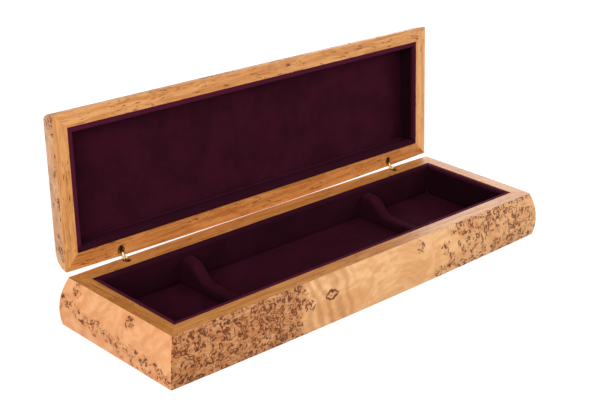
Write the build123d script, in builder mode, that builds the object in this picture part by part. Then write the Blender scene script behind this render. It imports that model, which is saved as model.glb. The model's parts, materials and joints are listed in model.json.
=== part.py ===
from build123d import *
from math import atan, cos, degrees, radians, sin
import os

os.makedirs("parts", exist_ok=True)

# A long burl-wood jewelry case, shown open.
# X runs along the case, Y from front to back, Z up.
# The origin is the centre of the case's underside.
# Sizes are in millimetres and degrees.

# Case
case_length = 300.0         # along the rim, from corner to corner
case_width = 89.0           # across the rim at the ends
base_height = 29.0          # underside to base rim
rim_width = 8.8             # flat top of each wall
front_bow = 0.2             # how far the front rims bow outward in plan, at the middle
back_bow = 1.8              # the same at the back
corner_round = 1.0          # softened upright corners
rim_gap = 0.2               # between the two rims when the lid is shut
mitre_spare = 10.0          # how far a mitre cut runs on past the case

# Swelling sides of the base
foot_out = 3.1              # how far the foot stands out past the rim
side_swell = 2.4            # extra swell half way down
belly_bow = 1.9             # extra bow of the front face, down at the foot
foot_round = 0.8            # rounded bottom edge

# Leaning sides and rounded shoulder of the lid
lid_start_lean = 5.0        # lean at the lid's rim
lid_end_lean = 35.0         # lean where the shoulder begins
lid_side_radius = 40.0
lid_shoulder_radius = 10.0
lid_rail_height = 15.5      # rim to the glue line of the top board

# Underside
panel_thickness = 5.3       # flush with the foot of the walls
rebate_depth = 4.0          # rebate cut into the walls for the panel
panel_clearance = 0.1

# Velvet linings
liner_thickness = 2.2
liner_below_rim = 0.6
liner_round = 0.9
lining_clearance = 0.1
floor_pad_thickness = 2.2
ceiling_pad_thickness = 2.5
pad_round = 0.9

# Cradles across the base
cradle_thickness = 10.0
cradle_from_end = 74.0      # end of the rim to the middle of a cradle
cradle_shoulder_height = 16.3
cradle_dip_height = 6.2
cradle_dip_half = 13.0
cradle_flank = 11.5
cradle_bend = 9.0
cradle_round = 3.2

# Lid axis and its open stop
open_angle = 94.8
axis_behind_rim = 1.8       # lid axis behind the back corner of the rim

# Barrel hinges
hinge_from_end = 37.7
barrel_radius = 2.5
barrel_length = 5.5
barrel_clearance = 0.05
pin_radius = 0.32
pin_running_clearance = 0.06
pin_setback = 3.15          # pin in front of the lid axis
pin_depth = 1.6             # pin below the closed parting plane
pin_end_gap = 0.1
link_width = 1.0
link_eye_radius = 0.62
link_knee = 2.35            # pin to the knee of a link
link_knee_drop = 0.1
link_knee_round = 0.7
lid_link_thickness = 0.8
base_link_thickness = 0.65
link_side_clearance = 0.06
slot_clearance = 0.07
slot_floor_clearance = 0.25

# Frames of the two halves
half_length = case_length / 2
half_width = case_width / 2
axis_y = half_width + axis_behind_rim
axis_z = base_height + rim_gap / 2
lid_back = Vector(0, cos(radians(open_angle)), -sin(radians(open_angle)))
lid_up = Vector(0, sin(radians(open_angle)), cos(radians(open_angle)))
base_frame = Plane.XY
lid_frame = Plane(
    origin=Vector(0, axis_y, axis_z) - lid_back * axis_y + lid_up * (rim_gap / 2),
    x_dir=(1, 0, 0),
    z_dir=lid_up,
)

# Inside sizes shared by the panel, the linings and the cradles
inner_length = case_length - 2 * rim_width
inner_width = case_width - 2 * rim_width
floor_level = panel_thickness + floor_pad_thickness
ceiling_depth = lid_rail_height - ceiling_pad_thickness


def outline(grow, more_bow):
    """The bowed plan of the case, grown outward, with more bow at the front."""
    x = half_length + grow
    y = half_width + grow
    front = front_bow + more_bow
    with BuildSketch() as plan:
        with BuildLine():
            ThreePointArc((-x, -y), (0, -y - front), (x, -y))
            Line((x, -y), (x, y))
            ThreePointArc((x, y), (0, y + back_bow), (-x, y))
            Line((-x, y), (-x, -y))
        make_face()
        fillet(plan.vertices(), corner_round)
    return plan.sketch


def base_station(height):
    """The base's section at a height: how far it stands out past the rim, and its bow."""
    fall = 1 - height / base_height
    grow = foot_out * fall + 4 * side_swell * fall * (1 - fall)
    return (height, grow, belly_bow * fall)


def arc_stations(start, radius, lean, end_lean, steps, direction=1):
    """Sections up (or down) an arc that leans ever further inward from a first section."""
    height, grow, bow = start
    stations = []
    for i in range(steps + 1):
        now = lean + (end_lean - lean) * i / steps
        rise = radius * (sin(radians(now)) - sin(radians(lean)))
        fall_in = radius * (cos(radians(lean)) - cos(radians(now)))
        stations.append((height + direction * rise, grow - fall_in, bow))
    return stations


def pillow(frame, stations):
    """One stretch of a pillow-shaped side, ruled from section to bowed section."""
    with BuildPart() as stretch:
        for height, grow, bow in stations:
            with BuildSketch(frame.offset(height)):
                add(outline(grow, bow))
        loft(ruled=True)
    return stretch.part


def block(frame, length, width, low, high, mode=Mode.ADD):
    """A straight block centred on a frame, between two levels."""
    with BuildSketch(frame.offset(low)) as plan:
        Rectangle(length, width)
    extrude(plan.sketch, amount=high - low, mode=mode)


def mitre_wedge(frame, side, low, high):
    """Keep only what lies between the mitre planes at the two ends of one wall."""
    out = half_length + mitre_spare
    outer_y = half_width + mitre_spare
    inner = half_length - rim_width - mitre_spare
    inner_y = half_width - rim_width - mitre_spare
    corners = {
        "front": [(-out, -outer_y), (out, -outer_y), (inner, -inner_y), (-inner, -inner_y)],
        "back": [(-out, outer_y), (-inner, inner_y), (inner, inner_y), (out, outer_y)],
        "left": [(-out, -outer_y), (-inner, -inner_y), (-inner, inner_y), (-out, outer_y)],
        "right": [(out, -outer_y), (out, outer_y), (inner, inner_y), (inner, -inner_y)],
    }
    with BuildSketch(frame.offset(low)) as plan:
        Polygon(*corners[side], align=None)
    extrude(plan.sketch, amount=high - low, mode=Mode.INTERSECT)


def hinge_frame(frame, x):
    """The frame of one half, moved to the lid axis at one hinge."""
    return Plane(origin=Vector(x, axis_y, axis_z), x_dir=(1, 0, 0), z_dir=frame.z_dir)


def side_view(frame):
    """The plane of a hinge seen from its end: across is the frame's Y, up is its Z."""
    return Plane(origin=frame.origin, x_dir=frame.y_dir, z_dir=frame.x_dir)


hinge_x = half_length - hinge_from_end
hinge_places = {"left": -hinge_x, "right": hinge_x}
barrel_setback = 1.5 * pin_setback
link_stack = lid_link_thickness / 2 + link_side_clearance + base_link_thickness
slot_half = link_stack + slot_clearance
slot_depth = pin_depth + link_eye_radius + slot_floor_clearance


def barrel_holes(frame, side):
    """Blind holes for both hinge barrels; side is -1 for the base and 1 for the lid."""
    for x in hinge_places.values():
        with BuildSketch(hinge_frame(frame, x).offset(side * rim_gap / 2)) as mouth:
            with Locations((0, -barrel_setback)):
                Circle(barrel_radius + barrel_clearance)
        extrude(mouth.sketch, amount=side * (barrel_length + barrel_clearance), mode=Mode.SUBTRACT)


# Base walls: one swelling shell, cut into four mitred walls
side_steps = 8
foot_steps = 3
foot_lean = degrees(atan((4 * side_swell - foot_out) / base_height))
foot_top = foot_round * (1 - sin(radians(foot_lean)))
side_heights = [base_height + (foot_top - base_height) * i / side_steps for i in range(side_steps + 1)]
base_side = [base_station(height) for height in side_heights]
base_foot = arc_stations(base_side[-1], foot_round, foot_lean, 90, foot_steps, -1)

with BuildPart() as base_shell:
    add(pillow(base_frame, base_side))
    add(pillow(base_frame, base_foot))
    block(base_frame, inner_length, inner_width, 0, base_height, Mode.SUBTRACT)
    block(
        base_frame,
        inner_length + 2 * rebate_depth,
        inner_width + 2 * rebate_depth,
        0,
        panel_thickness,
        Mode.SUBTRACT,
    )

for side in ("front", "back", "left", "right"):
    with BuildPart() as base_wall:
        add(base_shell.part)
        mitre_wedge(base_frame, side, 0, base_height)
        if side == "back":
            barrel_holes(base_frame, -1)
    base_wall.part.label = f"base_{side}_wall"
    export_step(base_wall.part, f"parts/base_{side}_wall.step")

# Bottom panel, let into the rebate from below
with BuildPart() as base_bottom_panel:
    block(
        base_frame,
        inner_length + 2 * (rebate_depth - panel_clearance),
        inner_width + 2 * (rebate_depth - panel_clearance),
        0,
        panel_thickness,
    )
base_bottom_panel.part.label = "base_bottom_panel"
export_step(base_bottom_panel.part, "parts/base_bottom_panel.step")

# Lid: one pillow-shaped shell, cut into four mitred rails and a top board
shoulder_steps = 7
lid_side = arc_stations((0, 0, 0), lid_side_radius, lid_start_lean, lid_end_lean, side_steps)
lid_shoulder = arc_stations(lid_side[-1], lid_shoulder_radius, lid_end_lean, 90, shoulder_steps)

with BuildPart() as lid_pillow:
    add(pillow(lid_frame, lid_side))
    add(pillow(lid_frame, lid_shoulder))

with BuildPart() as lid_shell:
    add(lid_pillow.part)
    block(lid_frame, inner_length, inner_width, 0, lid_rail_height, Mode.SUBTRACT)
    split(bisect_by=lid_frame.offset(lid_rail_height), keep=Keep.BOTTOM)

for side in ("front", "back", "left", "right"):
    with BuildPart() as lid_rail:
        add(lid_shell.part)
        mitre_wedge(lid_frame, side, 0, lid_rail_height)
        if side == "back":
            barrel_holes(lid_frame, 1)
    lid_rail.part.label = f"lid_{side}_rail"
    export_step(lid_rail.part, f"parts/lid_{side}_rail.step")

with BuildPart() as lid_top_board:
    add(lid_pillow.part)
    split(bisect_by=lid_frame.offset(lid_rail_height), keep=Keep.TOP)
lid_top_board.part.label = "lid_top_board"
export_step(lid_top_board.part, "parts/lid_top_board.step")

# Padded floor and padded ceiling, with soft rounded edges
with BuildPart() as base_floor_pad:
    block(
        base_frame,
        inner_length - 2 * lining_clearance,
        inner_width - 2 * lining_clearance,
        panel_thickness,
        floor_level,
    )
    fillet(faces().sort_by(Axis.Z)[-1].edges(), pad_round)
base_floor_pad.part.label = "base_floor_pad"
export_step(base_floor_pad.part, "parts/base_floor_pad.step")

with BuildPart() as lid_ceiling_pad:
    block(
        lid_frame,
        inner_length - 2 * lining_clearance,
        inner_width - 2 * lining_clearance,
        ceiling_depth,
        lid_rail_height,
    )
    lid_axis = Axis(lid_frame.origin, lid_frame.z_dir)
    fillet(faces().sort_by(lid_axis)[0].edges(), pad_round)
lid_ceiling_pad.part.label = "lid_ceiling_pad"
export_step(lid_ceiling_pad.part, "parts/lid_ceiling_pad.step")


def liner(frame, side, low, high, rim_side):
    """A velvet-covered board against one wall; its edge by the rim is rounded."""
    y = inner_width / 2 - lining_clearance - liner_thickness / 2
    x = inner_length / 2 - lining_clearance - liner_thickness / 2
    long_size = (inner_length - 2 * lining_clearance, liner_thickness)
    end_size = (liner_thickness, inner_width - 2 * liner_thickness - 4 * lining_clearance)
    places = {
        "front": ((0, -y), long_size),
        "back": ((0, y), long_size),
        "left": ((-x, 0), end_size),
        "right": ((x, 0), end_size),
    }
    place, size = places[side]
    with BuildSketch(frame.offset(low)) as plan:
        with Locations(place):
            Rectangle(*size)
    extrude(plan.sketch, amount=high - low)
    up = Axis(frame.origin, frame.z_dir)
    rim_face = faces().sort_by(up)[rim_side]
    long_edges = rim_face.edges().sort_by(Edge.length)[-2:]
    fillet(long_edges, liner_round)


for side in ("front", "back", "left", "right"):
    with BuildPart() as base_liner:
        liner(base_frame, side, floor_level, base_height - liner_below_rim, -1)
    base_liner.part.label = f"base_{side}_liner"
    export_step(base_liner.part, f"parts/base_{side}_liner.step")

    with BuildPart() as lid_liner:
        liner(lid_frame, side, liner_below_rim, ceiling_depth, 0)
    lid_liner.part.label = f"lid_{side}_liner"
    export_step(lid_liner.part, f"parts/lid_{side}_liner.step")

# Cradles: padded saddles that stand across the base
cradle_half = inner_width / 2 - liner_thickness - 2 * lining_clearance
cradle_low = floor_level
cradle_dip = floor_level + cradle_dip_height
cradle_top = floor_level + cradle_shoulder_height
dip_end = cradle_dip_half + cradle_flank

for side, direction in (("left", -1), ("right", 1)):
    cradle_x = direction * (half_length - cradle_from_end)
    with BuildPart() as cradle:
        with BuildSketch(Plane.YZ.offset(cradle_x - cradle_thickness / 2)):
            with BuildLine():
                FilletPolyline(
                    (-cradle_half, cradle_top),
                    (-dip_end, cradle_top),
                    (-cradle_dip_half, cradle_dip),
                    (cradle_dip_half, cradle_dip),
                    (dip_end, cradle_top),
                    (cradle_half, cradle_top),
                    radius=cradle_bend,
                )
                Polyline(
                    (cradle_half, cradle_top),
                    (cradle_half, cradle_low),
                    (-cradle_half, cradle_low),
                    (-cradle_half, cradle_top),
                )
            make_face()
        extrude(amount=cradle_thickness)
        ends = faces().filter_by(Axis.X)
        above = [e for e in ends.edges() if e.center().Z > cradle_dip - 1 and e.length < inner_width]
        top_edges = [e for e in above if abs(e.tangent_at(0.5).Z) < 0.95]
        fillet(top_edges, cradle_round)
    cradle.part.label = f"cradle_{side}"
    export_step(cradle.part, f"parts/cradle_{side}.step")


def hinge_barrel(frame, side):
    """A slotted brass barrel; side is -1 in the base and 1 in the lid."""
    face = frame.offset(side * rim_gap / 2)
    with BuildSketch(face) as end:
        with Locations((0, -barrel_setback)):
            Circle(barrel_radius)
    extrude(end.sketch, amount=side * barrel_length)
    with BuildSketch(face) as slot:
        with Locations((0, -barrel_setback)):
            Rectangle(2 * slot_half, 3 * barrel_radius)
    extrude(slot.sketch, amount=side * slot_depth, mode=Mode.SUBTRACT)
    with BuildSketch(side_view(frame)) as pin:
        with Locations((-pin_setback, side * pin_depth)):
            Circle(pin_radius)
    extrude(pin.sketch, amount=2 * barrel_radius, both=True, mode=Mode.SUBTRACT)


pin_far_side = barrel_setback - pin_setback + pin_radius
pin_half = (barrel_radius**2 - pin_far_side**2) ** 0.5 - pin_end_gap
halves = {"base": (base_frame, -1), "lid": (lid_frame, 1)}

for half, (frame, side) in halves.items():
    for place, x in hinge_places.items():
        with BuildPart() as barrel:
            hinge_barrel(hinge_frame(frame, x), side)
        barrel.part.label = f"hinge_{place}_{half}_barrel"
        export_step(barrel.part, f"parts/hinge_{place}_{half}_barrel.step")

    with BuildPart() as pins:
        for x in hinge_places.values():
            with BuildSketch(side_view(hinge_frame(frame, x))):
                with Locations((-pin_setback, side * pin_depth)):
                    Circle(pin_radius)
            extrude(amount=pin_half, both=True)
    pins.part.label = f"hinge_{half}_pins"
    export_step(pins.part, f"parts/hinge_{half}_pins.step")

# Hinge links. Each turns on a pin of its own barrel and both meet at a centre rivet.
# Shut, the rivet lies on the parting plane, twice as far from the lid axis as the pins,
# so the links and the axis form a parallelogram: the base link turns with the lid and
# the lid link keeps its direction.


def opened(y, z):
    """Where a point given in the shut lid's frame lies once the lid is open."""
    turn = radians(open_angle)
    return (y * cos(turn) + z * sin(turn), z * cos(turn) - y * sin(turn))


def moved(point, step):
    return (point[0] + step[0], point[1] + step[1])


base_pin_at = (-pin_setback, -pin_depth)
lid_pin_at = opened(-pin_setback, pin_depth)
base_link_path = [
    base_pin_at,
    moved(base_pin_at, opened(-link_knee, -link_knee_drop)),
    moved(base_pin_at, opened(-pin_setback, pin_depth)),
]
lid_link_path = [
    lid_pin_at,
    moved(lid_pin_at, (-link_knee, link_knee_drop)),
    moved(lid_pin_at, (-pin_setback, -pin_depth)),
]
pin_hole = pin_radius + pin_running_clearance


def link_plate(plane, path, thickness, holes):
    """One bent link plate, centred on a plane, with an eye at each end."""
    with BuildSketch(plane) as plate:
        with BuildLine():
            FilletPolyline(*path, radius=link_knee_round)
        trace(line_width=link_width)
        with Locations(path[0], path[-1]):
            Circle(link_eye_radius)
        with Locations(*holes):
            Circle(pin_hole, mode=Mode.SUBTRACT)
    extrude(plate.sketch, amount=thickness / 2, both=True)


plate_offset = link_stack - base_link_thickness / 2

for place, x in hinge_places.items():
    view = side_view(hinge_frame(base_frame, x))
    with BuildPart() as base_link:
        for direction in (-1, 1):
            plane = view.offset(direction * plate_offset)
            link_plate(plane, base_link_path, base_link_thickness, [base_link_path[0]])
        with BuildSketch(view):
            with Locations(base_link_path[-1]):
                Circle(pin_radius)
        extrude(amount=link_stack, both=True)
    base_link.part.label = f"hinge_{place}_base_link"
    export_step(base_link.part, f"parts/hinge_{place}_base_link.step")

    with BuildPart() as lid_link:
        ends = [lid_link_path[0], lid_link_path[-1]]
        link_plate(view, lid_link_path, lid_link_thickness, ends)
    lid_link.part.label = f"hinge_{place}_lid_link"
    export_step(lid_link.part, f"parts/hinge_{place}_lid_link.step")
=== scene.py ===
# %% [markdown]
# A long jewelry case of burl birch, standing open. It has a base of four mitred walls, a
# lid of four rails and a top board, two barrel hinges of brass, and plum velvet inside.
# The plain solids come from the frame, in metres, with X along the case and Z up. This
# file gives each of them its edges, its padding and its finish.

# %% The frame and its box
import json

import bmesh
import bpy
from math import cos, pi, radians, sin
from mathutils import Matrix, Vector
from mathutils import noise as field


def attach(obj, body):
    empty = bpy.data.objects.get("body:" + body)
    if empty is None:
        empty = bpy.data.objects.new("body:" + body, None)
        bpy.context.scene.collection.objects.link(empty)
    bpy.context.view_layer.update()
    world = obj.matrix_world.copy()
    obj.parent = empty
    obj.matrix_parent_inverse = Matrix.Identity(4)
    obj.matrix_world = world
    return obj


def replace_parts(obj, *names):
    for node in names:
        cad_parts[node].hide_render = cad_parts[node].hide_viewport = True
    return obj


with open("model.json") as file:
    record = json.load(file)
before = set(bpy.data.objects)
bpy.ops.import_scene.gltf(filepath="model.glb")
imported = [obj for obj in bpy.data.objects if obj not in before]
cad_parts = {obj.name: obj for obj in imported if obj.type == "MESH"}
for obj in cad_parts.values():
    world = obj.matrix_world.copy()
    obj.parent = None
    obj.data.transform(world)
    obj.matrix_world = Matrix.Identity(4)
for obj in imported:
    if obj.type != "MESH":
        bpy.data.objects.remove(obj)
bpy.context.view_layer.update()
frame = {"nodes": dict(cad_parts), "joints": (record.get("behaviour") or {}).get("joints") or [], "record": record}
nodes = frame["nodes"]
scene = bpy.context.scene
scene.view_settings.view_transform = "Standard"
mm = 0.001
print("pieces in the frame:", len(nodes))

# %% [markdown]
# The lid stands open, so nothing on it is square to the room. It is far easier to shape its
# rails and linings in the lid's own frame, with Z running from the rim up to the top board,
# and turn them into place afterwards. The hinge in the frame says how far the lid is open
# and about which line.

# %% The frames of the base and the lid
lid_hinge = frame["joints"][0]
open_angle = radians(lid_hinge["range_deg"][1])
hinge_line = Vector(lid_hinge["pos_m"])
base_place = Matrix.Identity(4)
lid_place = (
    Matrix.Translation(hinge_line)
    @ Matrix.Rotation(-open_angle, 4, "X")
    @ Matrix.Translation(-hinge_line)
)
places = {"base": base_place, "lid": lid_place}


def local_box(name, place):
    """Lowest and highest corner of a CAD node in the frame of its half."""
    back = place.inverted()
    corners = [back @ vertex.co for vertex in nodes[name].data.vertices]
    low = Vector(min(c[i] for c in corners) for i in range(3))
    high = Vector(max(c[i] for c in corners) for i in range(3))
    return low, high


rim_level = {
    "base": local_box("base_front_wall", base_place)[1].z,
    "lid": local_box("lid_front_rail", lid_place)[0].z,
}
print("rims at", {half: round(level, 4) for half, level in rim_level.items()})

# %% [markdown]
# The camera stands in front and to the left, a little above the lid's height. Its place was
# worked out from the corners of the case, so it is written as a point to look at, a
# distance, two angles and a small roll. A long lens keeps the far end almost as tall as
# the near one.

# %% Camera
look_at = Vector((50.68, 62.5, 13.4)) * mm
camera_distance = 856.7 * mm
camera_azimuth = radians(-45.456)
camera_elevation = radians(22.429)
camera_roll = radians(2.224)
focal_in_pixels = 1297.56
image_width = 612
sensor_width = 36.0

level_right = Vector((cos(camera_azimuth), sin(camera_azimuth), 0))
towards_camera = Vector((
    sin(camera_azimuth) * cos(camera_elevation),
    -cos(camera_azimuth) * cos(camera_elevation),
    sin(camera_elevation),
))
level_up = towards_camera.cross(level_right)
right = level_right * cos(camera_roll) + level_up * sin(camera_roll)
up = level_up * cos(camera_roll) - level_right * sin(camera_roll)

camera_data = bpy.data.cameras.new("camera")
camera_data.sensor_width = sensor_width
camera_data.lens = focal_in_pixels * sensor_width / image_width
camera = bpy.data.objects.new("camera", camera_data)
turned = Matrix((right, up, towards_camera)).transposed().to_4x4()
camera.matrix_world = Matrix.Translation(look_at + towards_camera * camera_distance) @ turned
scene.collection.objects.link(camera)
scene.camera = camera
print("camera at", [round(v, 3) for v in camera.matrix_world.translation])

# %% [markdown]
# A material reads more easily as a sum than as boxes and wires. The first class wraps a
# shader socket, so that ordinary arithmetic adds Math nodes. The second is a material with
# one Principled surface, and its node method adds any other kind of node.

# %% Shader sums


class Socket:
    """A shader socket that takes part in sums."""

    def __init__(self, shader, socket):
        self.shader = shader
        self.socket = socket

    def math(self, operation, *values, clamp=False):
        settings = {"operation": operation, "use_clamp": clamp}
        return self.shader.node("ShaderNodeMath", settings, dict(enumerate(values)))

    def __add__(self, other):
        return self.math("ADD", self, other)

    def __radd__(self, other):
        return self.math("ADD", other, self)

    def __sub__(self, other):
        return self.math("SUBTRACT", self, other)

    def __rsub__(self, other):
        return self.math("SUBTRACT", other, self)

    def __mul__(self, other):
        return self.math("MULTIPLY", self, other)

    def __rmul__(self, other):
        return self.math("MULTIPLY", other, self)

    def __abs__(self):
        return self.math("ABSOLUTE", self)

    def most(self, other):
        """The larger of two values."""
        return self.math("MAXIMUM", self, other)

    def between(self, low, high):
        """0 where this is at low, 1 at high, and smooth from one to the other."""
        settings = {"interpolation_type": "SMOOTHSTEP"}
        return self.shader.node("ShaderNodeMapRange", settings, {0: self, 1: low, 2: high})


# %% A material with one surface


class Shader:
    """A material with one Principled surface."""

    def __init__(self, name, **surface):
        self.material = bpy.data.materials.new(name)
        self.material.use_nodes = True
        self.tree = self.material.node_tree
        self.surface = self.tree.nodes["Principled BSDF"]
        for socket, value in surface.items():
            self.surface.inputs[socket.replace("_", " ")].default_value = value

    def node(self, kind, settings=None, inputs=None, output=0):
        """Adds a node: its settings first, then the values or links of its sockets."""
        made = self.tree.nodes.new(kind)
        for key, value in (settings or {}).items():
            setattr(made, key, value)
        for key, value in (inputs or {}).items():
            if isinstance(value, Socket):
                self.tree.links.new(value.socket, made.inputs[key])
            else:
                made.inputs[key].default_value = value
        return Socket(self, made.outputs[output])

    def feed(self, socket, value):
        """Links a value to a socket of the surface."""
        self.tree.links.new(value.socket, self.surface.inputs[socket])

    def bump(self, height, strength, distance):
        """Gives the surface a relief that is too fine to model."""
        inputs = {"Height": height, "Strength": strength, "Distance": distance}
        self.feed("Normal", self.node("ShaderNodeBump", None, inputs))

    def mix(self, factor, first, second):
        """A colour between two others, which sockets 6 and 7 take and output 2 gives."""
        settings = {"data_type": "RGBA"}
        return self.node("ShaderNodeMix", settings, {0: factor, 6: first, 7: second}, 2)


# %% [markdown]
# Every pattern here is measured in millimetres on the real thing, so each one starts from
# Object coordinates divided by the size of what it draws: a swirl 30 mm across, a bark
# pocket 4 mm across, a thread of pile 0.4 mm across.

# %% Patterns


class Patterned(Shader):
    """A material with patterns sized in millimetres."""

    def coordinates(self, size, offset=(0, 0, 0)):
        """Object coordinates that grow by 1 over a given number of millimetres."""
        where = self.node("ShaderNodeTexCoord", None, None, "Object")
        lengths = size if isinstance(size, tuple) else (size, size, size)
        scale = [1 / (length * mm) for length in lengths]
        return self.node("ShaderNodeMapping", None,
                         {"Vector": where, "Scale": scale, "Location": offset})

    def split(self, vector):
        """The X, Y and Z of a vector, each as a value."""
        parts = self.tree.nodes.new("ShaderNodeSeparateXYZ")
        self.tree.links.new(vector.socket, parts.inputs[0])
        return [Socket(self, output) for output in parts.outputs]

    def axes(self):
        """X, Y and Z in millimetres, each as a value."""
        return self.split(self.coordinates(1.0))

    def noise(self, where, detail=2.0, roughness=0.5, distortion=0.0, output=0):
        """Cloudy noise as a value, or as a colour from output 1."""
        return self.node("ShaderNodeTexNoise", None,
                         {"Vector": where, "Scale": 1.0, "Detail": detail,
                          "Roughness": roughness, "Distortion": distortion}, output)

    def pushed(self, where, push, amount):
        """Coordinates pushed about by a coloured noise."""
        centred = self.node("ShaderNodeVectorMath", {"operation": "SUBTRACT"},
                            {0: push, 1: (0.5, 0.5, 0.5)})
        step = self.node("ShaderNodeVectorMath", {"operation": "SCALE"},
                         {0: centred, "Scale": amount})
        return self.node("ShaderNodeVectorMath", {"operation": "ADD"}, {0: where, 1: step})

    def length(self, across, height):
        """Distance from the origin of two values."""
        squares = across * across + height * height
        return self.node("ShaderNodeMath", {"operation": "SQRT"}, {0: squares})

    def waves(self, distance, period):
        """A wave from -1 to 1 that repeats every period."""
        return self.node("ShaderNodeMath", {"operation": "SINE"}, {0: distance * (2 * pi / period)})

    def cells(self, where, output=0):
        """Distance to the nearest scattered point, or that point's own colour."""
        return self.node("ShaderNodeTexVoronoi", {"feature": "F1"},
                         {"Vector": where, "Scale": 1.0}, output)


def tone(red, green, blue):
    """A colour written from 0 to 255, as a picture shows it."""
    parts = [v / 255 for v in (red, green, blue)]
    linear = [v / 12.92 if v <= 0.04045 else ((v + 0.055) / 1.055) ** 2.4 for v in parts]
    return (*linear, 1.0)


print("patterns ready, plum reads", [round(v, 3) for v in tone(51, 17, 29)[:3]])

# %% [markdown]
# Burl birch is pale and satin. Its grain wanders instead of running straight, and dark
# bark pockets lie in it as short hooks and squiggles, crowded in some places and missing in
# others. The hooks here are rings round scattered points, pushed out of round by a wobble
# and torn into arcs by a noise. Each ring has a random number of its own, and a crowd value
# says what share of the rings is kept, so that a thin crowd has fewer marks, not fainter ones.

# %% Bark pockets


def hooks(wood, size, place, wobble, crowd):
    """Bark pockets a given number of millimetres apart, and the stain that each one leaves."""
    where = wood.pushed(wood.coordinates(size, place), wobble, 1.5)
    middle = wood.cells(where)
    ring = 1 - abs(middle - 0.33).between(0.22 / size, 0.6 / size)
    kept = (crowd - wood.cells(where, 1)).between(-0.04, 0.06)
    torn = wood.noise(wood.coordinates(size * 0.55, place), 1).between(0.4, 0.48)
    return ring * torn * kept, (1 - middle.between(0.25, 0.75)) * kept


def threads(wood, size, place, wobble, crowd):
    """Squiggles where a fine noise crosses its middle value: 1 inside a mark."""
    where = wood.pushed(wood.coordinates(size, place), wobble, 1.8)
    line = 1 - abs(wood.noise(where, 1.5, 0.6, 0.8) - 0.5).between(0.012, 0.042)
    kept = wood.noise(wood.coordinates(size * 0.6, place), 1).between(0.46, 0.53)
    return line * kept * crowd.between(0.35, 0.6)


def lens(wood, across, height, wide, tall):
    """One large pocket: a ragged lens with pointed ends, and a faint streak inside it."""
    push = wood.noise(wood.coordinates(2.8, (4, 2, 9)), 3) * 1.8 - 0.9
    distance = abs(height) * (2 / tall) + across * across * (4 / wide ** 2) + push
    outline = 1 - abs(distance - 0.9).between(0.12, 0.4)
    return outline.most((1 - distance.between(0.0, 0.35)) * 0.35)


def spot(wood, across, height):
    """1 in a place as wide as one or two pockets, to let a few of them grow alone."""
    return 1 - wood.length(across, height).between(2.8, 5.0)


# %% [markdown]
# A burl face is painted in layers, from the wood up: a pale and a deeper tone of ground
# mixed by long grain, the figure that is special to the face, a browner ground where
# the marks crowd together, and the marks on top.

# %% Burl wood


def burl(name, pale, deep, crowded, layout):
    """Burl wood. Its layout gives a crowd of marks, a shade, a figure, and a lens or None."""
    wood = Patterned(name, Roughness=0.42, Specular_IOR_Level=0.2)
    swirl = wood.noise(wood.coordinates(26.0), 2, 0.5, 0.3, 1)
    wobble = wood.noise(wood.coordinates(4.2, (9, 1, 6)), 1, 0.5, 0.0, 1)
    drift = wood.noise(wood.coordinates(15.0, (2, 6, 4)), 3, 0.6).between(0.3, 0.7)
    crowd, shade, figure, lone_lens = layout(wood, *wood.axes(), drift)
    grain = wood.noise(wood.pushed(wood.coordinates((26.0, 6.0, 6.0)), swirl, 3.4), 4, 0.6)
    fine = wood.noise(wood.pushed(wood.coordinates((3.0, 0.9, 0.9)), swirl, 8.0), 3, 0.6)
    large, large_stain = hooks(wood, 5.4, (3, 7, 1), wobble, crowd)
    small, small_stain = hooks(wood, 4.1, (6, 2, 8), wobble, crowd - 0.2)
    marks = large.most(small).most(threads(wood, 5.6, (1, 4, 9), wobble, crowd))
    bark = wood.mix(fine.between(0.3, 0.7), tone(66, 24, 6), tone(114, 50, 16))
    ground = wood.mix(grain.between(0.34, 0.66), pale, deep)
    ground = wood.mix(figure, ground, crowded)
    ground = wood.mix(shade * (0.45 + 0.55 * fine.between(0.35, 0.65)), ground, crowded)
    stain = tone(184, 96, 36)
    ground = wood.mix(large_stain.most(small_stain) * 0.3, ground, stain)
    if lone_lens:
        marks = marks.most(lone_lens)
        ground = wood.mix(lone_lens.between(0.0, 0.5) * 0.5, ground, stain)
    wood.feed("Base Color", wood.mix(marks * 0.92, ground, bark))
    wood.feed("Roughness", 0.38 + grain * 0.1 + marks * 0.15)
    wood.bump(grain * 0.25 + fine * 0.15 - marks * 0.6, 0.2, 0.2 * mm)
    return wood.material


# %% [markdown]
# The front is the face with the most to show. From left to right it has a dense crowd of
# hooks, a curly stretch with upright light and dark bands, a lens on its own, cathedral
# arches whose middle lies under the bottom edge, a few lone hooks, and another crowd. The
# lens and the lone hooks are on the front only, so that the back isn't its copy.

# %% The front's figure


def front_layout(wood, x, y, z, drift):
    """Crowds at both ends, curl from -70 to -10 along X and arches round 13."""
    left = 1 - (x - 12.0 * drift).between(-74.0, -58.0)
    right = (x - 0.7 * z + 24.0 * drift - 12.0).between(46.0, 62.0)
    waver = wood.noise(wood.coordinates(13.0, (5, 5, 5)), 2)
    bands = wood.waves(x + z * 0.25 + waver * 13.0, 8.4).between(-0.9, 1.0)
    curly = bands * (x.between(-70.0, -54.0) - x.between(-30.0, -10.0)) * 0.38
    radius = wood.length(x - 13.0, (z + 5.0) * 1.25) + waver * 5.0
    arches = wood.waves(radius, 4.6).between(0.1, 1.0)
    arches = arches * (1 - abs(x - 14.0).between(16.0, 40.0)) * 0.09
    shade = left * (0.66 + 0.3 * drift) + right * 0.2
    crowd = left * (0.75 + 0.35 * drift) + right * (0.42 + 0.46 * drift)
    on_front = 1 - y.between(-1.0, 1.0)
    for across, height in ((-56.0, 16.5), (38.5, 23.7), (59.0, 16.0), (62.0, 3.0)):
        crowd = crowd.most(spot(wood, x - across, z - height) * on_front)
    lone_lens = lens(wood, x + 38.5, z - 18.0, 9.6, 4.6) * on_front
    return crowd, shade, curly.most(arches), lone_lens


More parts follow.
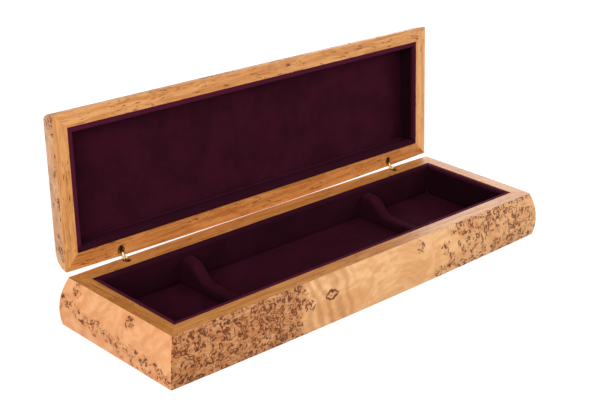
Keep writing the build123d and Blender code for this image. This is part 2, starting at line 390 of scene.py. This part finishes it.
def end_layout(wood, x, y, z, drift):
    """A band of pockets, low at the front corner and rising towards the back."""
    height = z - 4.0 - (y + 44.0) * 0.14
    crowd = (1 - abs(height + drift * 6.0 - 3.0).between(3.0, 8.0)) * 0.55
    waver = wood.noise(wood.coordinates(18.0, (3, 8, 2)), 3)
    bands = wood.waves(y * 0.5 + z * 0.6 + waver * 22.0, 9.0).between(-0.2, 1.0)
    shade = crowd * 0.4
    on_left = 1 - x.between(-1.0, 1.0)
    for across, height in ((34.0, 25.0), (-12.5, 24.0), (-27.0, 9.0)):
        crowd = crowd.most(spot(wood, y - across, z - height) * on_left * 0.8)
    return crowd, shade, bands * 0.38, None


def lid_layout(wood, x, y, z, drift):
    """Loose groups of pockets all over, with broad bands of curl behind them."""
    crowd = drift.between(0.25, 0.8)
    waver = wood.noise(wood.coordinates(18.0, (3, 8, 2)), 2)
    bands = wood.waves(x * 0.5 + waver * 22.0, 10.5).between(0.0, 1.0)
    return crowd * 0.8, crowd * 0.35, bands * 0.35, None


burl_front = burl(
    "burl_front", tone(252, 195, 137), tone(234, 170, 110), tone(168, 96, 42), front_layout)
burl_end = burl(
    "burl_end", tone(255, 190, 134), tone(246, 170, 112), tone(224, 138, 84), end_layout)
burl_lid = burl(
    "burl_lid", tone(244, 186, 132), tone(222, 156, 100), tone(202, 134, 82), lid_layout)
print("burl:", burl_front.name, burl_end.name, burl_lid.name)

# %% [markdown]
# Each rim shows the wood cut flat: straighter and more orange than the faces, with long
# dark threads and short dashes where the cut meets a bark pocket. The grain runs along its
# rail, so the short rails need the same wood with X and Y changed over.

# %% Rim wood


def rim_wood(name, along, pale, deep, fleck):
    """Straight wood along one axis, 'X' or 'Y'."""
    wood = Patterned(name, Roughness=0.4, Specular_IOR_Level=0.16)

    def run(length, width, offset=(0, 0, 0)):
        """Coordinates stretched along the grain."""
        lengths = (length, width, width) if along == "X" else (width, length, length)
        return wood.coordinates(lengths, offset)

    swirl = wood.noise(wood.coordinates(24.0), 2, 0.5, 0.3, 1)
    grain = wood.noise(wood.pushed(run(48.0, 2.6), swirl, 1.6), 4, 0.65)
    line = wood.noise(wood.pushed(run(22.0, 0.9, (4, 4, 4)), swirl, 2.4), 2, 0.6)
    lines = line.between(0.56, 0.68) * wood.noise(wood.coordinates(9.0), 1).between(0.4, 0.6)
    dash = wood.noise(wood.pushed(run(5.5, 0.9, (7, 1, 3)), swirl, 2.0), 3, 0.6).between(0.57, 0.65)
    flecks = dash * wood.noise(wood.coordinates(17.0, (1, 9, 2)), 3).between(0.4, 0.58) * fleck
    ground = wood.mix(grain.between(0.35, 0.65), pale, deep)
    ground = wood.mix(lines * 0.55, ground, tone(152, 80, 34))
    wood.feed("Base Color", wood.mix(flecks, ground, tone(122, 58, 22)))
    wood.feed("Roughness", 0.34 + grain * 0.12)
    wood.bump(grain * 0.2 - lines * 0.3 - flecks * 0.3, 0.2, 0.15 * mm)
    return wood.material


# Each rail's rim has its own tones. Besides the wood's own variation they carry painted light and shade: the base
# rims, which face up, are painted darker, and the lid rims lighter.
amber, honey, russet = tone(226, 156, 84), tone(240, 174, 110), tone(220, 146, 78)
chestnut, toffee = tone(200, 126, 58), tone(216, 142, 78)
lit_and_shaded_rim_tones = {
    "base front": (amber, chestnut, 0.7),
    "base back": (amber, chestnut, 0.8),
    "base left": (amber, tone(194, 122, 56), 0.6),
    "base right": (amber, chestnut, 0.6),
    "lid front": (honey, toffee, 0.85),
    "lid back": (russet, tone(186, 112, 50), 1.0),
    "lid left": (honey, toffee, 0.85),
    "lid right": (tone(246, 184, 122), tone(226, 154, 92), 0.6),
}
rims = {}
for rail, tones in lit_and_shaded_rim_tones.items():
    along = "X" if rail.endswith(("front", "back")) else "Y"
    rims[rail] = rim_wood("rim_" + rail.replace(" ", "_"), along, *tones)
panel_birch = rim_wood("panel_birch", "X", tone(224, 176, 128), tone(206, 156, 108), 0.1)
print("rims:", [rim.name for rim in rims.values()], panel_birch.name)

# %% [markdown]
# Velvet is a dark cloth whose pile catches light only at a glancing angle, which the sheen
# does. Where the pile leans another way, the cloth is a touch lighter or darker, in soft
# patches a few centimetres wide. Where it is folded over the edge of a board, it carries a
# painted highlight, so each half's velvet also knows how far it is from its rim. The boards
# at the right-hand end have a darker velvet, as painted shade, and those at the back a darker
# one too, with almost no painted highlight by the rim. The faces that point along the case,
# the sides of the cradles and of the end boards, are painted darker still, as painted shade.

# %% Velvet


def velvet(name, half, dark, light, fold_highlight):
    """Velvet for one half: two tones, a painted highlight by the rim, and painted side shade."""
    cloth = Patterned(name, Roughness=0.9, Specular_IOR_Level=0.05,
                      Sheen_Weight=0.12, Sheen_Roughness=0.35, Sheen_Tint=tone(190, 80, 130))
    leaning = cloth.noise(cloth.coordinates(19.0, (2, 3, 4)), 5, 0.65).between(0.34, 0.66)
    pile = cloth.noise(cloth.coordinates(0.5), 2, 0.6)
    ground = cloth.mix(leaning * 0.5 + pile * 0.25 + 0.12, dark, light)
    outward = places[half].to_3x3() @ Vector((0, 0, 1 if half == "base" else -1))
    rim_point = places[half] @ Vector((0, 0, rim_level[half]))
    along = cloth.node("ShaderNodeVectorMath", {"operation": "DOT_PRODUCT"},
                       {0: cloth.coordinates(1.0), 1: outward}, "Value")
    depth = rim_point.dot(outward) / mm - along
    # Painted highlight: the cloth is made lighter within a few millimetres of its rim, where it is folded over the
    # board's edge.
    rim_highlight = 1 - depth.between(0.9, 3.6)
    # Painted shade: faces that point along the case, such as the sides of the cradles and of the end boards, are
    # made darker.
    facing = cloth.split(cloth.node("ShaderNodeNewGeometry", None, None, "Normal"))
    side_shade = abs(facing[0]).between(0.3, 0.95)
    ground = cloth.mix(side_shade * 0.7, ground, painted_side_shade)
    cloth.feed("Base Color", cloth.mix(rim_highlight * 0.4, ground, fold_highlight))
    cloth.bump(pile, 0.5, 0.12 * mm)
    return cloth.material


# The tone of the painted shade on faces that point along the case.
painted_side_shade = tone(28, 6, 15)
# Rows give a dark tone, a light tone and the tone of the painted highlight by the rim. 'deep' is a copy of 'plum'
# painted darker, as painted shade, for the right-hand boards; 'smooth' is one painted darker for the back boards,
# with almost no painted highlight.
cloth_tones = {
    "plum": (tone(42, 9, 21), tone(66, 17, 36), tone(104, 34, 64)),
    "deep": (tone(26, 5, 14), tone(40, 10, 22), tone(92, 30, 56)),
    "smooth": (tone(34, 7, 17), tone(52, 13, 28), tone(58, 16, 34)),
}
cloths = {(kind, half): velvet(f"{kind}_velvet_{half}", half, *tones)
          for kind, tones in cloth_tones.items() for half in places}
print("cloths:", [cloth.name for cloth in cloths.values()])

# %% [markdown]
# The hinges are solid brass. The leaves are polished by each opening, while the barrels sit
# in their holes, where the metal has gone dark and dull.

# %% Brass


def brass(name, bright, dull, rough):
    """Brass worn from a bright tone to a dull one."""
    metal = Patterned(name, Metallic=1.0, Roughness=0.28)
    wear = metal.noise(metal.coordinates(1.6), 3, 0.6)
    metal.feed("Base Color", metal.mix(wear.between(0.4, 0.7), bright, dull))
    metal.feed("Roughness", rough + wear * 0.2)
    return metal.material


leaf_brass = brass("leaf_brass", tone(240, 214, 160), tone(206, 172, 112), 0.2)
barrel_brass = brass("barrel_brass", tone(150, 118, 60), tone(84, 62, 28), 0.32)
print("brass:", leaf_brass.name, barrel_brass.name)

# %% [markdown]
# A sawn and sanded board never ends in a razor edge. Each wooden piece is a welded copy of
# its solid with its edges eased, so that a joint between two pieces reads as a hairline. The
# corners that meet along the hinge line are left keen, as they almost touch when the lid
# stands open. The copies are made in the frame of their half, where the rim is level.

# %% Welded copies
weld_distance = 0.002 * mm
flat_angle = radians(0.1)
sharp_angle = radians(30)
edge_ease = 0.07 * mm
shortest_eased = 1.2 * mm
hinge_reach = 4 * mm
hinge_slack = 0.05 * mm
rim_slack = 0.02 * mm


def welded(name, place):
    """A CAD node's mesh in the frame of its half, welded, with its flat faces whole."""
    mesh = bmesh.new()
    mesh.from_mesh(nodes[name].data)
    bmesh.ops.transform(mesh, matrix=place.inverted(), verts=mesh.verts)
    bmesh.ops.remove_doubles(mesh, verts=mesh.verts, dist=weld_distance)
    bmesh.ops.dissolve_limit(mesh, angle_limit=flat_angle, verts=mesh.verts, edges=mesh.edges)
    return mesh


def sharp_edges(mesh, angle):
    """The edges whose two faces meet at an angle or more."""
    return [edge for edge in mesh.edges
            if len(edge.link_faces) == 2 and edge.calc_face_angle() >= angle]


def ease(mesh, edges, size):
    """Cuts a narrow flat along each edge."""
    bmesh.ops.bevel(mesh, geom=edges, offset=size, offset_type="OFFSET", segments=1,
                    profile=0.5, affect="EDGES", material=-1, clamp_overlap=True)


def finished(name, mesh, place, *materials):
    """Turns a shape made in its half's frame into a smooth, finished piece."""
    bmesh.ops.transform(mesh, matrix=place, verts=mesh.verts)
    for face in mesh.faces:
        face.smooth = True
    data = bpy.data.meshes.new(name)
    mesh.to_mesh(data)
    mesh.free()
    for material in materials:
        data.materials.append(material)
    piece = bpy.data.objects.new(name, data)
    scene.collection.objects.link(piece)
    return piece


def dressed(piece, half, slot, *replaced):
    """Puts a piece on its body, in place of its CAD nodes."""
    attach(piece, half)
    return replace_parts(piece, *replaced)


# %% Walls, rails and boards


def left_keen(edge, half):
    """True for an edge that is very short or meets the other half along the hinge line."""
    at_hinge = all(vertex.co.y > hinge_line.y - hinge_reach
                   and abs(vertex.co.z - rim_level[half]) < hinge_slack
                   for vertex in edge.verts)
    return at_hinge or edge.calc_length() < shortest_eased


def eased_board(name, half, face_wood, rim):
    """A wall, rail or board with its edges eased, and rim wood on its rim and inner faces."""
    place = places[half]
    mesh = welded(name, place)
    eased = [edge for edge in sharp_edges(mesh, sharp_angle) if not left_keen(edge, half)]
    count = len(eased)
    ease(mesh, eased, edge_ease)
    outward = 1 if half == "base" else -1
    for face in mesh.faces:
        middle = face.calc_center_median()
        level = abs(middle.z - rim_level[half]) < rim_slack and face.normal.z * outward > 0.99
        inner = face.normal.xy.dot(middle.xy) < -0.1 * mm
        face.material_index = 1 if level or inner else 0
    piece = finished("wood_" + name, mesh, place, face_wood, rim)
    piece.modifiers.new("flat faces", "WEIGHTED_NORMAL")
    dressed(piece, half, "burl_birch", name)
    print(name, "eased edges:", count, "faces:", len(piece.data.polygons))
    return piece


for side in ("front", "back", "left", "right"):
    face_wood = burl_front if side in ("front", "back") else burl_end
    eased_board(f"base_{side}_wall", "base", face_wood, rims["base " + side])
    eased_board(f"lid_{side}_rail", "lid", burl_lid, rims["lid " + side])
eased_board("lid_top_board", "lid", burl_lid, rims["lid front"])
eased_board("base_bottom_panel", "base", panel_birch, panel_birch)

# %% [markdown]
# The lining is velvet drawn over thin boards, so every board has soft shoulders and a
# faint ripple where the cloth was pulled round its edge. Each starts as a box of the solid's
# size, is cut into small squares, and has the squares by its edges drawn in. The boards
# round the sides are thickest by the rim, where the cloth is folded over the edge and makes
# a small roll. The floor and the ceiling are one wide pad each.

# %% Padded boards
patch = 3.0 * mm
least_cuts = 5
board_ripple = 0.06 * mm
board_wave = 14 * mm
fold_shoulder = 0.9 * mm
wall_shoulder = 0.2 * mm
roll_out = 1.3 * mm
roll_up = 0.35 * mm
roll_depth = 4.5 * mm


def slack(point, wave, ripple):
    """How far the cloth sinks at a point: up to twice the ripple, in waves of a length."""
    return ripple * (field.noise(point / wave) + 1)


def rolled(mesh, half, inward):
    """Swells the part of a lining board by its rim, towards the middle and up to the rim."""
    side = 1 if half == "base" else -1
    outer_face = min(v.co.dot(inward) for v in mesh.verts)
    thickness = max(v.co.dot(inward) for v in mesh.verts) - outer_face
    rim_edge = max(v.co.z * side for v in mesh.verts)
    for vertex in mesh.verts:
        depth = min(1.0, (rim_edge - vertex.co.z * side) / roll_depth)
        swell = (1 - depth * depth) ** 2
        across = (vertex.co.dot(inward) - outer_face) / thickness
        vertex.co += inward * roll_out * across * swell
        vertex.co.z += side * roll_up * swell


def padded_board(name, half):
    """A velvet-covered board as big as its CAD node, with a roll by the rim on a liner."""
    place = places[half]
    low, high = local_box(name, place)
    size, middle = high - low, (high + low) / 2
    mesh = bmesh.new()
    bmesh.ops.create_cube(mesh, size=1.0)
    bmesh.ops.scale(mesh, vec=size, verts=mesh.verts)
    for axis in range(3):
        along = []
        for edge in mesh.edges:
            start, end = (vertex.co[axis] for vertex in edge.verts)
            if abs(start - end) > 0.9 * size[axis]:
                along.append(edge)
        cuts = max(least_cuts, round(size[axis] / patch))
        bmesh.ops.subdivide_edges(mesh, edges=along, cuts=cuts, use_grid_fill=True)
    half_size = size / 2
    inward = Vector((0, 0, 0))
    if "liner" in name:
        across = Vector((1, 0, 0)) if size.x < size.y else Vector((0, 1, 0))
        inward = across if middle.dot(across) < 0 else -across
    rimward = Vector((0, 0, 1 if half == "base" else -1))
    for vertex in mesh.verts:
        by_the_rim = vertex.co.dot(inward) > 0 and vertex.co.dot(rimward) > 0
        radius = fold_shoulder if by_the_rim else wall_shoulder
        core = Vector(max(-h + radius, min(h - radius, c)) for c, h in zip(vertex.co, half_size))
        away = vertex.co - core
        if away.length > 0:
            sunk = slack(vertex.co + middle, board_wave, board_ripple)
            vertex.co = core + away.normalized() * (radius - sunk)
    bmesh.ops.translate(mesh, vec=middle, verts=mesh.verts)
    if "liner" in name:
        rolled(mesh, half, inward)
    # Painted shade: the right-hand boards take the darker 'deep' velvet and the back boards the darker 'smooth'
    # one, with almost no painted highlight; the rest take plum.
    kind = "deep" if "right" in name else "smooth" if "back" in name else "plum"
    piece = finished("velvet_" + name, mesh, place, cloths[kind, half])
    dressed(piece, half, "plum_velvet", name)
    return piece


for half in ("base", "lid"):
    for side in ("front", "back", "left", "right"):
        padded_board(f"{half}_{side}_liner", half)
padded_board("base_floor_pad", "base")
padded_board("lid_ceiling_pad", "lid")
print("padded boards done")

# %% [markdown]
# The two cradles are foam saddles wrapped in the same velvet. A voxel remesh turns the
# solid into even squares, a few rounds of smoothing take off what is left of its hard
# edges, and a gentle noise along the surface gives the slack of wrapped cloth.

# %% Cradles
cradle_squares = 0.8 * mm
smoothing_rounds = 6
cradle_ripple = 0.096 * mm
cradle_wave = 9 * mm


def wrapped_cradle(name):
    """A foam saddle covered in velvet, made from its solid."""
    rough = finished("rough_" + name, welded(name, base_place), base_place)
    remesh = rough.modifiers.new("even squares", "REMESH")
    remesh.mode = "VOXEL"
    remesh.voxel_size = cradle_squares
    depsgraph = bpy.context.evaluated_depsgraph_get()
    data = bpy.data.meshes.new_from_object(rough.evaluated_get(depsgraph))
    bpy.data.objects.remove(rough)
    mesh = bmesh.new()
    mesh.from_mesh(data)
    for _ in range(smoothing_rounds):
        bmesh.ops.smooth_vert(mesh, verts=mesh.verts, factor=0.5,
                              use_axis_x=True, use_axis_y=True, use_axis_z=True)
    mesh.normal_update()
    for vertex in mesh.verts:
        vertex.co -= vertex.normal * slack(vertex.co, cradle_wave, cradle_ripple)
    piece = finished("velvet_" + name, mesh, base_place, cloths["plum", "base"])
    dressed(piece, "base", "plum_velvet", name)
    print(name, "faces:", len(piece.data.polygons))
    return piece


for side in ("left", "right"):
    wrapped_cradle("cradle_" + side)

# %% [markdown]
# The hinges are small turned barrels with a slot, links and pins. Their solids are already
# right, so they only need the hairline chamfer that a turned part has, and worn brass.

# %% Hinges
turned_angle = radians(60)
turned_chamfer = 0.05 * mm
bodies = frame["record"]["behaviour"]["bodies"]
body_of = {node: body for body, group in bodies.items() for node in group}
hinge_nodes = sorted(name for name in nodes if name.startswith("hinge"))
for name in hinge_nodes:
    mesh = welded(name, base_place)
    ease(mesh, sharp_edges(mesh, turned_angle), turned_chamfer)
    metal = leaf_brass if "link" in name else barrel_brass
    piece = finished("brass_" + name, mesh, base_place, metal)
    piece.modifiers.new("flat faces", "WEIGHTED_NORMAL")
    dressed(piece, body_of[name], "hinge_brass", name)
print("brass pieces:", len(hinge_nodes))

# %% [markdown]
# The case stands on a plain white table. The camera sees the table's own glow added to the
# light that falls on it, so it stays white while the case still casts a soft shadow. That
# glow is switched off for the rays that light the case.

# %% Table and room
table_drop = 0.3 * mm
table_glow = 0.8
ambient = 0.3
table = Shader("white_table", Base_Color=(0.5, 0.5, 0.5, 1), Roughness=0.9,
               Specular_IOR_Level=0.1, Emission_Color=(1, 1, 1, 1))
paths = table.tree.nodes.new("ShaderNodeLightPath")
seen = Socket(table, paths.outputs["Is Camera Ray"])
for kind in ("Is Glossy Ray", "Is Transmission Ray"):
    seen = seen + Socket(table, paths.outputs[kind])
table.feed("Emission Strength", seen.math("MULTIPLY", seen, table_glow, clamp=True))

bpy.ops.mesh.primitive_plane_add(size=8, location=(0, 0, -table_drop))
floor = bpy.context.object
floor.name = "table_top"
floor.data.materials.append(table.material)

world = bpy.data.worlds.new("studio")
world.use_nodes = True
scene.world = world
room = world.node_tree
room_paths = room.nodes.new("ShaderNodeLightPath")
room_seen = room.nodes.new("ShaderNodeMath")
room_seen.operation = "MAXIMUM"
room.links.new(room_paths.outputs["Is Camera Ray"], room_seen.inputs[0])
room.links.new(room_paths.outputs["Is Glossy Ray"], room_seen.inputs[1])
strength = room.nodes.new("ShaderNodeMapRange")
strength.inputs["To Min"].default_value = ambient
strength.inputs["To Max"].default_value = 1.0
room.links.new(room_seen.outputs[0], strength.inputs["Value"])
room.nodes["Background"].inputs["Color"].default_value = (1, 1, 1, 1)
room.links.new(strength.outputs[0], room.nodes["Background"].inputs["Strength"])
print("table and room white, ambient", ambient)

# %% Lamps


def softbox(name, azimuth, elevation, distance, size, watts):
    """A square lamp aimed at the case from an angle round it and above it."""
    turn, rise = radians(azimuth), radians(elevation)
    direction = Vector((sin(turn) * cos(rise), -cos(turn) * cos(rise), sin(rise)))
    light = bpy.data.lights.new(name, "AREA")
    light.energy = watts
    light.size = size
    lamp = bpy.data.objects.new(name, light)
    aim = Vector((0, 0, 0.05))
    lamp.matrix_world = (Matrix.Translation(aim + direction * distance)
                         @ direction.to_track_quat("Z", "Y").to_matrix().to_4x4())
    scene.collection.objects.link(lamp)
    return lamp


softbox("left_window", -62, 22, 1.6, 1.0, 17)
softbox("front_fill", 38, 18, 1.8, 1.2, 12)
softbox("back_window", 123, 22, 1.5, 0.8, 9)
